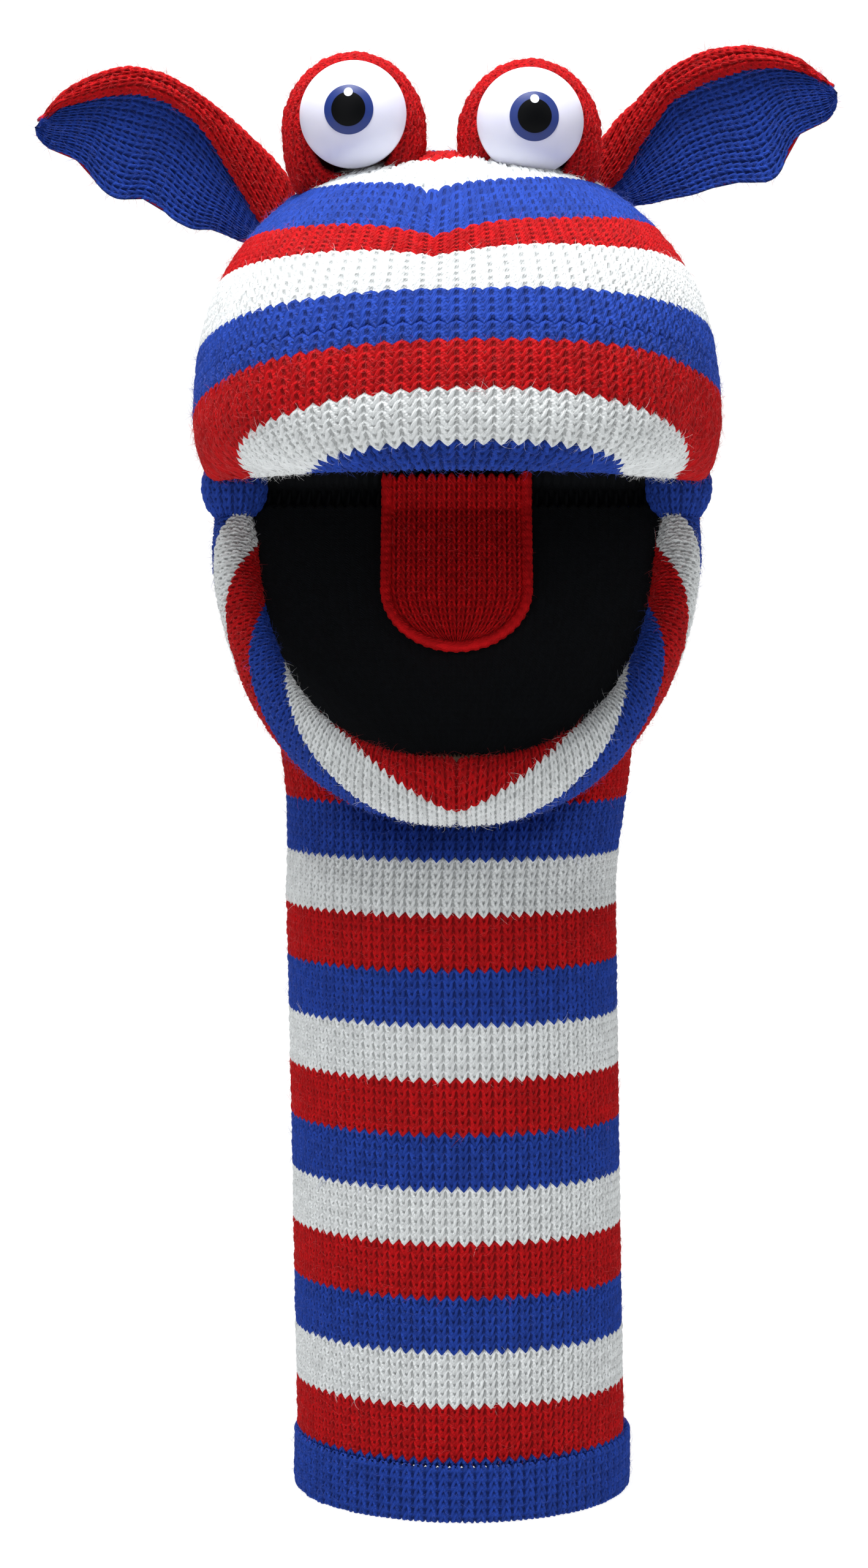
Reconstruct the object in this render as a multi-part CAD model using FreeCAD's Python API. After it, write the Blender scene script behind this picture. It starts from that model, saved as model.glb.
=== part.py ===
import FreeCAD, Part
import math
import os

# Knitted hand puppet made from a striped sock: a sleeve for the arm, a padded head with a
# wide open mouth, a lower jaw on a soft hinge, a tongue, two ears and two plastic eyes.
# Millimetres and degrees. +Z is up, -Y is the front, the origin is the centre of the hem's
# lower edge. Left and right are as seen from the front (left is -X).

os.makedirs("parts", exist_ok=True)
V = FreeCAD.Vector
X_AXIS = V(1, 0, 0)
Y_AXIS = V(0, 1, 0)
Z_AXIS = V(0, 0, 1)
BIG = 400.0

# ---- driving dimensions ----
knit = 2.4                     # one layer of the knitted sock
lining = 1.2                   # the fine black mouth lining and the pockets
board = 2.0                    # stiff mouth boards

sleeve_half_width = 43.4
sleeve_half_depth = 40.0
hem_height = 15.0
hem_extra = 1.2                # the folded hem stands proud of the sleeve by this
turn_zone = (55.0, 85.0)       # heights of the stretch of knit that twists
tilt_zone = (105.0, 135.0)     # ... that tilts to the sides
nod_zone = (150.0, 190.0)      # ... that nods

hinge_z = 265.0                # the mouth hinge runs along X at y = 0
mouth_angle = 54.0             # the lower jaw hangs open by this much
head_half_width = 68.0
head_front = 90.0
head_back = 46.0
head_widest_z = 281.0
head_top_z = 350.0
head_bottom_z = 266.5          # underside of the upper lip
head_roundness = 2.4           # exponent of the head's rounded cross-section
forehead_slope = 2.0           # exponent of its side profile
palate_z = 269.0               # underside of the upper mouth lining
seam_x = (-7.0, -4.4)          # the dart up the forehead lies between these
palate_half_width = 60.0
palate_front = 82.0

nape_back = 41.0               # back of the neck at the top of the nodding stretch
jaw_half_width = 64.0
jaw_length = 99.5
jaw_roundness = 2.5
jaw_palate_drop = 3.0          # lower lining's surface, below the plane through the hinge
jaw_roll_top = 1.0             # the lip roll stands this far above that plane
jaw_depth = 22.0               # underside of the jaw below that plane
jaw_start = 6.0                # the jaw begins this far from the hinge
jaw_taper = (40.0, 19.4)       # nearer the hinge than this its underside rises at this slope
throat_gap = 2.0               # between the jaw's underside and the neck
throat_fold_start = 26.0       # from the start of the taper, along it
throat_fold_length = 5.0
lower_palate_half_width = 52.0
lower_palate_length = 82.8

tongue_width = 38.0
tongue_reach = 53.5            # from the hinge to the tongue's tip
tongue_start = 8.0
tongue_layer = 2.1

eye_radius = 13.4
eye_dome_height = 8.5
eye_rim = 1.2
eye_front_y = -33.0            # plane of the rim behind each eye dome
eye_lift = 2.4                 # each eye looks up by this many degrees
eye_spread = 6.0               # and outwards by this many
iris_radius = 6.15
pupil_radius = 4.25
glint_radius = 1.1
glint_rise = 4.2
mound_half = (18.2, 15.5, 20.0)
mound_drop = 3.2               # mound's centre below the eye's centre
mound_back = 14.5              # and behind the rim plane
eyes = {"left": (-26.0, 356.5), "right": (18.4, 354.8)}

ear_reach = 63.0
ear_layer = 1.9
ear_curl = 42.0                # radius that each ear is curled to, hollow side forward
ears = {                       # base point (x, z) and slope of each ear
    "left": (-51.0, 336.5, 18.8),
    "right": (41.0, 343.0, 21.4),
}
ear_root = 6.0                 # length of the pinched root between head and ear


# ---- helpers ----
def save(name, shape):
    """Write one named sub-part to parts/."""
    shape.exportStep("parts/" + name + ".step")


def power(value, exponent):
    return math.copysign(abs(value) ** exponent, value)


def outline(half_width, front, back, z, roundness=2.0, count=40):
    """Closed rounded outline at height z, y from -front to +back, as a wire."""
    points = []
    for i in range(count):
        angle = 2 * math.pi * i / count
        x = half_width * power(math.cos(angle), 2 / roundness)
        y = power(math.sin(angle), 2 / roundness)
        points.append(V(x, y * (back if y > 0 else front), z))
    curve = Part.BSplineCurve()
    curve.interpolate(points, PeriodicFlag=True)
    return Part.Wire([curve.toShape()])


def loft(wires):
    return Part.makeLoft(wires, True, False)


def block(x0, x1, y0, y1, z0, z1):
    return Part.makeBox(x1 - x0, y1 - y0, z1 - z0, V(x0, y0, z0))


def plate(half_width, front, z0, z1, y_end, roundness=2.4):
    """Half of a rounded plate, from its straight back edge at y_end to the front."""
    face = Part.Face(outline(half_width, front, front, z0, roundness))
    return face.extrude(V(0, 0, z1 - z0)).common(block(-BIG, BIG, -BIG, y_end, z0 - 1, z1 + 1))


def tunnel(half_x, half_z, x, z, y0, y1):
    """Oval tunnel along Y."""
    ellipse = Part.Ellipse(V(x, y0, z), max(half_x, half_z), min(half_x, half_z)).toShape()
    wire = Part.Wire([ellipse])
    wire.rotate(V(x, y0, z), X_AXIS, 90)
    return Part.Face(wire).extrude(V(0, y1 - y0, 0))


def oval_tube(half_width, half_depth, wall, z0, z1):
    """Upright oval tube with the sleeve's section."""
    outer = Part.Face(outline(half_width, half_depth, half_depth, z0))
    inner = Part.Face(outline(half_width - wall, half_depth - wall, half_depth - wall, z0))
    return outer.cut(inner).extrude(V(0, 0, z1 - z0))


def ellipsoid(centre, half):
    ball = Part.makeSphere(1.0)
    scale = FreeCAD.Matrix()
    scale.scale(half[0], half[1], half[2])
    ball = ball.transformGeometry(scale)
    ball.translate(centre)
    return ball


def into_jaw(shape):
    """Turn a shape modelled with the jaw level, hinge at the origin, to the open jaw."""
    placed = shape.copy()
    placed.rotate(V(0, 0, 0), X_AXIS, mouth_angle)
    placed.translate(V(0, 0, hinge_z))
    return placed


# ---- sleeve and the three stretches of the neck ----
def make_sleeve():
    hem = oval_tube(sleeve_half_width + hem_extra, sleeve_half_depth + hem_extra,
                    knit + hem_extra, 0, hem_height)
    save("wrist_hem", hem)
    thread = 0.5
    ring = oval_tube(sleeve_half_width - knit, sleeve_half_depth - knit, thread,
                     hem_height - 2.5, hem_height - 1.5)
    save("hem_stitching", ring)
    heights = [
        ("arm_sleeve", hem_height, turn_zone[0]),
        ("turning_stretch", turn_zone[0], turn_zone[1]),
        ("lower_neck_sleeve", turn_zone[1], tilt_zone[0]),
        ("tilting_stretch", tilt_zone[0], tilt_zone[1]),
        ("upper_neck_sleeve", tilt_zone[1], nod_zone[0]),
    ]
    for name, z0, z1 in heights:
        save(name, oval_tube(sleeve_half_width, sleeve_half_depth, knit, z0, z1))


def neck_wire(z, inset):
    """Section of the leaning neck between the sleeve and the head."""
    share = (z - nod_zone[0]) / (hinge_z - nod_zone[0])
    rise = max(0.0, share * 1.12 - 0.12)
    half_width = sleeve_half_width + (60.0 - sleeve_half_width) * rise ** 1.2
    middle = 3.0 * share
    back = sleeve_half_depth + (head_back - 1.0 - sleeve_half_depth) * share
    front = sleeve_half_depth
    wire = outline(half_width - inset, front + middle - inset, back - middle - inset, z)
    wire.translate(V(0, middle, 0))
    return wire


def neck_blank(inset, z0, z1):
    steps = 5
    return loft([neck_wire(z0 + (z1 - z0) * i / steps, inset) for i in range(steps + 1)])


def on_taper(shape):
    """Move a shape from the tapered underside's own frame (Y along it towards the hinge,
    Z into the jaw) to the level jaw."""
    placed = shape.copy()
    placed.rotate(V(0, 0, 0), X_AXIS, jaw_taper[1])
    placed.translate(V(0, -jaw_taper[0], -jaw_depth))
    return placed


def below_jaw(gap):
    """Everything more than gap below the level jaw's underside and its tapered part."""
    flat = block(-BIG, BIG, -BIG, BIG, -BIG, -jaw_depth - gap)
    tapered = on_taper(block(-BIG, BIG, -BIG, BIG, -BIG, -gap))
    return flat.fuse(tapered)


def past_throat(half_width, low, high):
    """Block on the taper from the throat fold to the hinge, in the level jaw."""
    return on_taper(block(-half_width, half_width, throat_fold_start - 0.2, 60, low, high))


def make_neck():
    for name, z0, z1 in [("nodding_stretch",) + nod_zone, ("nape_skin", nod_zone[1], head_bottom_z)]:
        outer = neck_blank(0, z0, z1).common(into_jaw(below_jaw(throat_gap)))
        inner = neck_blank(knit, z0 - 0.01, z1 + 0.01)
        inner = inner.common(into_jaw(below_jaw(throat_gap + knit)))
        skin = outer.cut(inner)
        if name == "nape_skin":
            skin = skin.cut(into_jaw(past_throat(50, -throat_gap - 3 * knit, 0)))
        save(name, skin)
    end = throat_fold_start + throat_fold_length
    fold = block(-48, 48, throat_fold_start, end, -throat_gap - knit, knit)
    fold = fold.cut(block(-49, 49, throat_fold_start - 1, end - knit, -throat_gap, 0))
    save("throat_fold", into_jaw(on_taper(fold)))


# ---- head ----
def head_blank(grow):
    """The rounded upper jaw and head, grown outwards by grow."""
    rise = head_top_z - head_widest_z
    wires = []
    bottom = head_bottom_z - grow
    for z, size in [(bottom, 0.955), (bottom + 5, 0.985), (head_widest_z, 1.0)]:
        wires.append(outline(head_half_width * size + grow, head_front * size + grow,
                             head_back * size + grow, z, head_roundness))
    for share in (0.25, 0.45, 0.62, 0.76, 0.87, 0.945, 0.985):
        across = (1 - share ** head_roundness) ** (1 / head_roundness)
        along = (1 - share ** forehead_slope) ** (1 / forehead_slope)
        wires.append(outline(head_half_width * across + grow, head_front * along + grow,
                             head_back * across + grow,
                             head_widest_z + (rise + grow) * share, head_roundness))
    return loft(wires)


def hand_well(grow):
    """Space for the hand: up from the neck, then forward into the upper jaw."""
    well = Part.Face(outline(38 + grow, 15 + grow, 13 + grow, 250)).extrude(V(0, 0, 36))
    well.translate(V(0, 24, 0))
    return well


def finger_tunnel(grow):
    return tunnel(34 + grow, 9.5 + grow, 0, 283.0, -54 - grow, 22)


def make_head(eye_domes):
    outer = head_blank(0)
    inside = head_blank(-knit)
    recess = plate(palate_half_width, palate_front, 250, palate_z + lining, BIG)
    recess = recess.cut(block(-BIG, BIG, head_back - 12, BIG, 240, 290))
    lip_liner = plate(palate_half_width + knit, palate_front + knit, 250, palate_z + lining, BIG)
    lip_liner = lip_liner.cut(block(-BIG, BIG, head_back - 12 + knit, BIG, 240, 290))
    skin = outer.cut(inside.cut(lip_liner)).cut(recess).cut(eye_domes)
    save("head_skin", skin)

    liner = plate(palate_half_width, palate_front, palate_z, palate_z + lining, -1.5)
    save("upper_mouth_lining", liner)
    stiff = plate(palate_half_width - 2, palate_front - 2, palate_z + lining,
                  palate_z + lining + board, -1.5)
    save("upper_mouth_board", stiff)

    pocket = finger_tunnel(0).cut(finger_tunnel(-lining))
    pocket = pocket.cut(hand_well(0))
    save("finger_pocket", pocket)

    padding = inside.cut(lip_liner).cut(stiff).cut(finger_tunnel(0)).cut(hand_well(0))
    padding = padding.cut(block(-BIG, BIG, -1.5, BIG, 240, palate_z + lining + board))
    padding = padding.cut(eye_domes)
    save("upper_jaw_padding", padding)

    seam = head_blank(0.8).cut(outer).common(block(seam_x[0], seam_x[1], -68, -44, 290, 345))
    save("forehead_seam", seam)


# ---- eyes ----
def aim_eye(shape, side, centre_x, centre_z):
    """Move a shape modelled facing -Y at the origin to one eye's rim and direction."""
    outward = -1 if side == "left" else 1
    placed = shape.copy()
    placed.rotate(V(0, 0, 0), X_AXIS, -eye_lift)
    placed.rotate(V(0, 0, 0), Z_AXIS, outward * eye_spread)
    placed.translate(V(centre_x, eye_front_y, centre_z))
    return placed


def eye_dome(side, centre_x, centre_z):
    """Glossy dome with its rim and the shank that passes through the knit."""
    ball = (eye_radius ** 2 + eye_dome_height ** 2) / (2 * eye_dome_height)
    middle = V(0, ball - eye_dome_height, 0)
    front = block(-30, 30, -30, 0, -30, 30)
    rim = Part.makeCylinder(eye_radius, eye_rim, V(0, 0, 0), Y_AXIS)
    shank = Part.makeCylinder(2.4, 11.0, V(0, eye_rim, 0), Y_AXIS)
    dome = Part.makeSphere(ball, middle).common(front).fuse(rim).fuse(shank).removeSplitter()
    return aim_eye(dome, side, centre_x, centre_z)


def make_eye(side, centre_x, centre_z, dome, head):
    save(side + "_eye_dome", dome)
    ball = (eye_radius ** 2 + eye_dome_height ** 2) / (2 * eye_dome_height)
    middle = V(0, ball - eye_dome_height, 0)

    def inlay(radius, low, high, rise=0.0):
        """Thin round layer on the dome's front, between two offsets from its surface."""
        rod = Part.makeCylinder(radius, 30, V(0, -30, rise), Y_AXIS)
        layer = Part.makeSphere(ball + high, middle).cut(Part.makeSphere(ball + low, middle))
        return layer.common(rod)

    pupil = inlay(pupil_radius, 0.0, 0.3)
    glint = inlay(glint_radius, 0.0, 0.4, glint_rise)
    iris = inlay(iris_radius, 0.0, 0.2).cut(Part.makeCylinder(pupil_radius, 30, V(0, -30, 0), Y_AXIS))
    iris = iris.cut(Part.makeCylinder(glint_radius, 30, V(0, -30, glint_rise), Y_AXIS))
    pupil = pupil.cut(Part.makeCylinder(glint_radius, 30, V(0, -30, glint_rise), Y_AXIS))
    save(side + "_iris", aim_eye(iris, side, centre_x, centre_z))
    save(side + "_pupil", aim_eye(pupil, side, centre_x, centre_z))
    save(side + "_glint", aim_eye(glint, side, centre_x, centre_z))

    washer_seat = eye_rim + knit + 0.2
    washer = Part.makeCylinder(5.8, 1.6, V(0, washer_seat, 0), Y_AXIS)
    washer = washer.cut(Part.makeCylinder(2.4, 20, V(0, 0, 0), Y_AXIS))
    washer = aim_eye(washer, side, centre_x, centre_z)
    save(side + "_eye_washer", washer)

    centre = V(centre_x, eye_front_y + mound_back, centre_z - mound_drop)
    flat_front = aim_eye(block(-40, 40, eye_rim, 60, -60, 60), side, centre_x, centre_z)
    flat_inside = aim_eye(block(-40, 40, washer_seat, 60, -60, 60), side, centre_x, centre_z)
    inner_half = [half - knit for half in mound_half]
    inner = ellipsoid(centre, inner_half).common(flat_inside)
    hole = aim_eye(Part.makeCylinder(2.4, 20, V(0, 0, 0), Y_AXIS), side, centre_x, centre_z)
    cover = ellipsoid(centre, mound_half).common(flat_front).cut(inner).cut(hole)
    cover = cover.cut(head).cut(dome)
    save(side + "_eye_mound", cover)
    filling = inner.cut(head).cut(hole).cut(washer)
    save(side + "_mound_filling", filling)


# ---- ears ----
def ear_outline(inset):
    """Leaf-shaped outline in the XZ plane, root at the origin, tip towards +X."""
    top = [(ear_root, 12), (18, 20.5), (33, 23), (47, 19.5), (59, 8.5)]
    low = [(ear_reach, 0), (57, -6), (46, -9.5), (34, -12.5), (18, -12.5), (ear_root, -9.5)]
    middle = V(34, 0, 4)
    points = [V(x, 0, z) for x, z in top + low]
    shrunk = [p + (middle - p).normalize() * inset for p in points]
    curve = Part.BSplineCurve()
    curve.interpolate(shrunk, PeriodicFlag=True)
    return Part.Face(Part.Wire([curve.toShape()]))


def place_ear(shape, side, base_x, base_z, slope):
    placed = shape.copy()
    placed.rotate(V(0, 0, 0), Y_AXIS, -slope)
    if side == "left":
        placed = placed.mirror(V(0, 0, 0), X_AXIS)
    placed.translate(V(base_x, 2.0, base_z))
    return placed


def make_ear(side, base_x, base_z, slope, head):
    axis_point = V(-20, -ear_curl, 4)

    def curled(radius, thickness):
        tube = Part.makeCylinder(radius, 120, axis_point, X_AXIS)
        return tube.cut(Part.makeCylinder(radius - thickness, 120, axis_point, X_AXIS))

    body = ear_outline(0).extrude(V(0, 30, 0))
    body.translate(V(0, -20, 0))
    front = ear_outline(2.0).extrude(V(0, 30, 0))
    front.translate(V(0, -20, 0))
    back_layer = body.common(curled(ear_curl + ear_layer, ear_layer))
    front_layer = front.common(curled(ear_curl, ear_layer))
    save(side + "_ear_back", place_ear(back_layer, side, base_x, base_z, slope))
    save(side + "_ear_lining", place_ear(front_layer, side, base_x, base_z, slope))

    stem = Part.makeCylinder(8.0, ear_root + 6.0, V(-6.0, 0, 1), X_AXIS)
    squeeze = FreeCAD.Matrix()
    squeeze.scale(1, 0.42, 1)
    stem = stem.transformGeometry(squeeze)
    stem = stem.common(block(-20, ear_root - 1.5, -20, 20, -20, 20))
    stem = stem.cut(back_layer).cut(front_layer)
    stem = place_ear(stem, side, base_x, base_z, slope).cut(head)
    save(side + "_ear_root", stem)


# ---- lower jaw, modelled level with its hinge at the origin ----
def jaw_blank(grow):
    wires = []
    for z, inset in [(-jaw_depth - grow, 12), (-jaw_depth + 3, 6), (-jaw_depth + 10, 0.5),
                     (-6, 0), (-1.5, 2.2), (jaw_roll_top + grow, 6)]:
        wires.append(outline(jaw_half_width - inset + grow, jaw_length - inset + grow,
                             jaw_length - inset + grow, z, jaw_roundness))
    blank = loft(wires).common(block(-BIG, BIG, -BIG, -jaw_start, -BIG, BIG))
    return blank.cut(below_jaw(grow))


def thumb_tunnel(inset):
    return tunnel(14 - inset, 5.2 - inset, 0, -12.8, -60 + inset, 1)


def make_jaw():
    top = -jaw_palate_drop
    outer = jaw_blank(0)
    inside = jaw_blank(-knit)
    bowl = plate(lower_palate_half_width, lower_palate_length, top - lining, BIG / 2, -jaw_start,
                 jaw_roundness)
    bowl_liner = plate(lower_palate_half_width + knit, lower_palate_length + knit, top - lining,
                       BIG / 2, -jaw_start, jaw_roundness)
    mouth_of_jaw = past_throat(jaw_half_width - 8, -10, 40)
    mouth_of_jaw = mouth_of_jaw.common(block(-BIG, BIG, -BIG, BIG, -BIG, top - lining - board))
    skin = outer.cut(inside.cut(bowl_liner)).cut(bowl).cut(mouth_of_jaw)
    save("jaw_skin", into_jaw(skin))

    liner = plate(lower_palate_half_width, lower_palate_length, top - lining, top, -jaw_start,
                  jaw_roundness)
    save("lower_mouth_lining", into_jaw(liner))
    stiff = plate(lower_palate_half_width + 2, lower_palate_length + 2, top - lining - board,
                  top - lining, -jaw_start, jaw_roundness)
    save("lower_mouth_board", into_jaw(stiff))

    pocket = thumb_tunnel(0).cut(thumb_tunnel(lining))
    pocket = pocket.cut(below_jaw(-knit)).cut(past_throat(BIG, -10, 40))
    save("thumb_pocket", into_jaw(pocket))
    padding = inside.cut(bowl_liner).cut(stiff).cut(thumb_tunnel(0))
    save("lower_jaw_padding", into_jaw(padding.cut(mouth_of_jaw)))

    seam = jaw_blank(0.8).cut(jaw_blank(0)).common(block(2.6, 5.0, -120, -85, -14, 0))
    save("chin_seam", into_jaw(seam))


def make_folds():
    """Knit and lining that wrap the mouth hinge between the head and the jaw."""
    half_width = lower_palate_half_width
    angle = math.radians(mouth_angle)

    def lower_edge(drop):
        """Point of the jaw's back edge, this far below the plane through the hinge."""
        y = -jaw_start * math.cos(angle) + drop * math.sin(angle)
        z = -jaw_start * math.sin(angle) - drop * math.cos(angle)
        return V(-half_width, y, hinge_z + z)

    fold_back = 4.0
    upper_in = V(-half_width, -1.5, palate_z)
    upper_out = V(-half_width, -1.5, palate_z + lining)
    back_in = V(-half_width, fold_back, hinge_z - 1)
    back_out = V(-half_width, fold_back + lining, hinge_z - 1)
    lower_in = lower_edge(jaw_palate_drop)
    lower_out = lower_edge(jaw_palate_drop + lining)
    profile = Part.Wire([
        Part.Arc(upper_in, back_in, lower_in).toShape(),
        Part.makeLine(lower_in, lower_out),
        Part.Arc(lower_out, back_out, upper_out).toShape(),
        Part.makeLine(upper_out, upper_in),
    ])
    save("mouth_fold", Part.Face(profile).extrude(V(2 * half_width, 0, 0)))
    cheek_radius = 5.4
    for side, x in [("left", -half_width - 12), ("right", half_width + 1)]:
        cheek = Part.makeCylinder(cheek_radius, 11, V(x, 0, hinge_z), X_AXIS)
        cheek = cheek.common(block(-BIG, BIG, -BIG, BIG, 0, head_bottom_z - 0.3))
        save(side + "_cheek_fold", cheek)


# ---- tongue, modelled level like the jaw ----
def make_tongue():
    round_radius = tongue_width / 2
    low = -jaw_palate_drop + 0.4

    def tongue_plate(inset, z0, z1):
        length = tongue_reach - round_radius
        half = round_radius - inset
        strip = block(-half, half, -length, -tongue_start, z0, z1)
        tip = Part.makeCylinder(half, z1 - z0, V(0, -length, z0), Z_AXIS)
        return strip.fuse(tip).removeSplitter()

    rim = 1.1
    bottom = tongue_plate(rim, low, low + tongue_layer)
    top = tongue_plate(rim, low + tongue_layer, low + 2 * tongue_layer)
    edge = tongue_plate(0, low + 1.0, low + 2 * tongue_layer - 1.0)
    edge = edge.cut(tongue_plate(rim, low - 1, low + 3 * tongue_layer))
    save("tongue_underside", into_jaw(bottom))
    save("tongue_top", into_jaw(top))
    save("tongue_stitched_edge", into_jaw(edge))


make_sleeve()
make_neck()
domes = {side: eye_dome(side, x, z) for side, (x, z) in eyes.items()}
make_head(list(domes.values()))
head_shape = head_blank(0)
for eye_side, (eye_x, eye_z) in eyes.items():
    make_eye(eye_side, eye_x, eye_z, domes[eye_side], head_shape)
for ear_side, (ear_x, ear_z, ear_slope) in ears.items():
    make_ear(ear_side, ear_x, ear_z, ear_slope, head_shape)
make_jaw()
make_folds()
make_tongue()
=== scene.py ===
import bpy
import math
import numpy as np
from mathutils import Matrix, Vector


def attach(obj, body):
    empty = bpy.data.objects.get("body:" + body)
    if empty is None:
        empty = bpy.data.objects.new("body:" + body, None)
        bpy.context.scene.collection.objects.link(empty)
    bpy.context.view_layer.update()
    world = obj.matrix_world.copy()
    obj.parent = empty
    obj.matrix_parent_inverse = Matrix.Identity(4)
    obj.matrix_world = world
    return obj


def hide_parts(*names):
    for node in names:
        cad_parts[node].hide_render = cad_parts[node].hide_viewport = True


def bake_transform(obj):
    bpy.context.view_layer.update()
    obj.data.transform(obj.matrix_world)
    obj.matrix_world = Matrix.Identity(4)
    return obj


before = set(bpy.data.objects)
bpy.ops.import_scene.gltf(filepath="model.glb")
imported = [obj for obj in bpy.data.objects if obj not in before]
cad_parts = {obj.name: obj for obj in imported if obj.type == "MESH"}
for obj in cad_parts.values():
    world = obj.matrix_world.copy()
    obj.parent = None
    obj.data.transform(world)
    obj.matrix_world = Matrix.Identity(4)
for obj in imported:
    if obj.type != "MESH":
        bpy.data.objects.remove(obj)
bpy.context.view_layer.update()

# Knitted hand puppet, drawn in millimetres and degrees and turned to metres as each mesh is made.
# Every soft piece is a real knitted surface: V-shaped stitches in wales and courses.
# -Y is the front, left is -X. "a" counts wales and "b" counts courses throughout.

MM = 0.001
# The last yarn is the red painted brighter for the tongue: painted light.
RED, WHITE, BLUE, BLACK, LIT_TONGUE_RED = range(5)
TONES = 4                       # close tones of each yarn colour; the last is painted shade for the gaps between stitches
GAP_SHADE_LEVEL = 0.36                      # mesh lower than this on a leg is a gap between stitches, which gets the painted shade tone
COLUMNS = 8                     # mesh columns to a wale
STEPS = (0.0, 0.25, 0.5, 0.75)  # mesh rows in a course
RISE = 0.7                      # the legs of a stitch rise this many courses from its tip
LEG_FOOT, LEG_HEAD = 0.12, 0.38  # a leg's middle, in wales from the stitch's tip, low and high
LEG_HALF = 0.215                # half a leg's width, in wales
LEG_WAY = (0.0, 0.25, 0.5, 0.75, 1.0)
LEG_BULGE = (0.62, 1.0, 1.0, 0.86, 0.62)
LEG_ROUNDNESS = 0.6             # power that rounds a leg's section
LEG_SINK = 0.55                 # share of the relief that lies behind the surface
EDGE_SINK = 0.45                # share of the relief that a trimmed edge lies behind it
UNEVEN = 0.09                   # spread of the stitches' heights
FLAT_RELIEF = 0.4               # knit with less relief than this gets no painted shade in its gaps
COURSES_TO_A_BAND = 6
TINY = 1e-9


# ---------------------------------------------------------------- materials
def linear(red, green, blue):
    """Scene colour for a colour given as screen values from 0 to 255."""
    shades = []
    for value in (red, green, blue):
        share = value / 255
        shades.append(share / 12.92 if share < 0.04045 else ((share + 0.055) / 1.055) ** 2.4)
    return (*shades, 1.0)


def toned(colour, factor):
    return (*[min(1.0, c * factor) for c in colour[:3]], 1.0)


# Blends a colour a little towards white; used as painted highlight on the loose fibres.
def pale(colour):
    return (*[0.96 * c + 0.04 for c in colour[:3]], 1.0)


def principled(name, colour, roughness):
    material = bpy.data.materials.new(name)
    material.use_nodes = True
    shader = material.node_tree.nodes["Principled BSDF"]
    shader.inputs["Base Color"].default_value = colour
    shader.inputs["Roughness"].default_value = roughness
    return material, material.node_tree, shader


YARN_ROUGHNESS, FIBRE_ROUGHNESS = 0.82, 0.7
PLY_SCALE = 7.0 / 6.0           # of the wave texture that draws the plies
PLY_LEAN = math.radians(38)     # the plies wind across a leg at this angle
PLY_DEPTH = 0.25 * MM


def yarn(name, colour):
    """Spun yarn: plies that wind along each leg of a stitch, with loose fibres between them."""
    material, tree, shader = principled(name, colour, YARN_ROUGHNESS)
    shader.inputs["Sheen Weight"].default_value = 0.15
    shader.inputs["Sheen Roughness"].default_value = 0.45
    shader.inputs["Sheen Tint"].default_value = toned(colour, 1.6)
    shader.inputs["Specular IOR Level"].default_value = 0.18
    nodes, links = tree.nodes, tree.links
    place = nodes.new("ShaderNodeTexCoord")
    turn = nodes.new("ShaderNodeMapping")
    turn.inputs["Rotation"].default_value = (0, 0, PLY_LEAN)
    turn.inputs["Scale"].default_value = (2.0, 1.0, 1.0)
    plies = nodes.new("ShaderNodeTexWave")
    plies.inputs["Scale"].default_value = PLY_SCALE
    plies.inputs["Distortion"].default_value = 3.0
    plies.inputs["Detail"].default_value = 2.0
    plies.inputs["Detail Scale"].default_value = 2.0
    stretch = nodes.new("ShaderNodeMapping")
    stretch.inputs["Scale"].default_value = (16.0, 5.0, 1.0)
    fibres = nodes.new("ShaderNodeTexNoise")
    fibres.inputs["Scale"].default_value = 1.0
    fibres.inputs["Detail"].default_value = 4.0
    mix = nodes.new("ShaderNodeMath")
    mix.operation = "MULTIPLY_ADD"
    mix.inputs[1].default_value = 0.7
    bump = nodes.new("ShaderNodeBump")
    bump.inputs["Strength"].default_value = 0.55
    bump.inputs["Distance"].default_value = PLY_DEPTH
    links.new(place.outputs["UV"], turn.inputs["Vector"])
    links.new(turn.outputs["Vector"], plies.inputs["Vector"])
    links.new(place.outputs["UV"], stretch.inputs["Vector"])
    links.new(stretch.outputs["Vector"], fibres.inputs["Vector"])
    links.new(plies.outputs["Fac"], mix.inputs[0])
    links.new(fibres.outputs["Fac"], mix.inputs[2])
    links.new(mix.outputs["Value"], bump.inputs["Height"])
    links.new(bump.outputs["Normal"], shader.inputs["Normal"])
    return material


YARN_COLOURS = {
    "red": linear(178, 6, 13),
    "white": linear(225, 229, 230),
    "blue": linear(30, 62, 154),
    "black": linear(10, 13, 17),
    # The tongue's yarn is the red painted brighter: painted light that stands in for light falling
    # into the mouth.
    "tongue": linear(208, 12, 19),
}
# Brightness of each tone: three close tones that differ at random, then a darker last one that is
# painted shade in the gaps between stitches.
TONE_AND_GAP_SHADE_FACTORS = (1.0, 0.86, 1.12, 0.5)
WHITE_TONE_AND_GAP_SHADE_FACTORS = (1.0, 0.93, 1.05, 0.62)
FIBRE_HIGHLIGHT_FACTOR = 1.3              # loose fibres are painted brighter than the yarn: painted highlight for the light they catch
YARNS = []
FIBRES = []
for yarn_name, yarn_colour in YARN_COLOURS.items():
    for tone, factor in enumerate(WHITE_TONE_AND_GAP_SHADE_FACTORS if yarn_name == "white" else TONE_AND_GAP_SHADE_FACTORS):
        YARNS.append(yarn(f"{yarn_name}_yarn_{tone + 1}", toned(yarn_colour, factor)))
    # Fibre colour: the yarn's colour with painted highlight, brighter and a little paler.
    fibre_colour = pale(toned(yarn_colour, FIBRE_HIGHLIGHT_FACTOR))
    FIBRES.append(principled(f"{yarn_name}_fibre", fibre_colour, FIBRE_ROUGHNESS)[0])


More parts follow.
